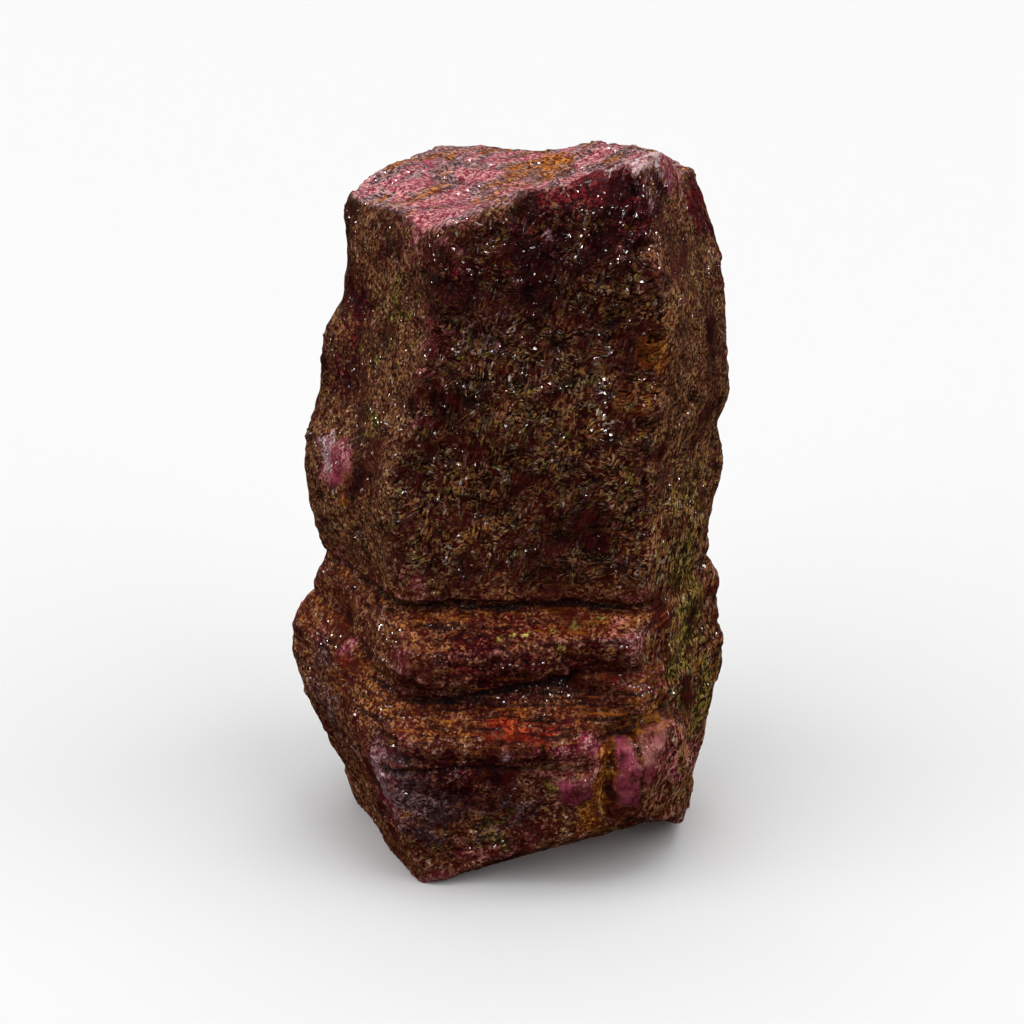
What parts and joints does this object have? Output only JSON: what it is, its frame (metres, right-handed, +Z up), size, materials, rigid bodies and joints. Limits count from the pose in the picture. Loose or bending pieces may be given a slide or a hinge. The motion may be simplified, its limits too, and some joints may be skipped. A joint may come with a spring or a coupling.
{
  "type": "raw ruby crystal",
  "caption": "Rough upright hexagonal ruby crystal: a tall prism on a stepped, weathered foot, with a sloping broken top and a flat broken base to stand on.",
  "frame": {"origin": "on the ground plane, at the middle of the crystal's footprint box", "axes": "+Z up along the crystal's length, -Y out of the wide front prism face, +X to the right of that face"},
  "size_m": [0.041, 0.0386, 0.0661],
  "materials": {
    "ruby": "rough weathered corundum with small glinting mica flakes"
  },
  "bodies": {
    "root": {"ruby_crystal": "ruby"}
  },
  "joints": []
}
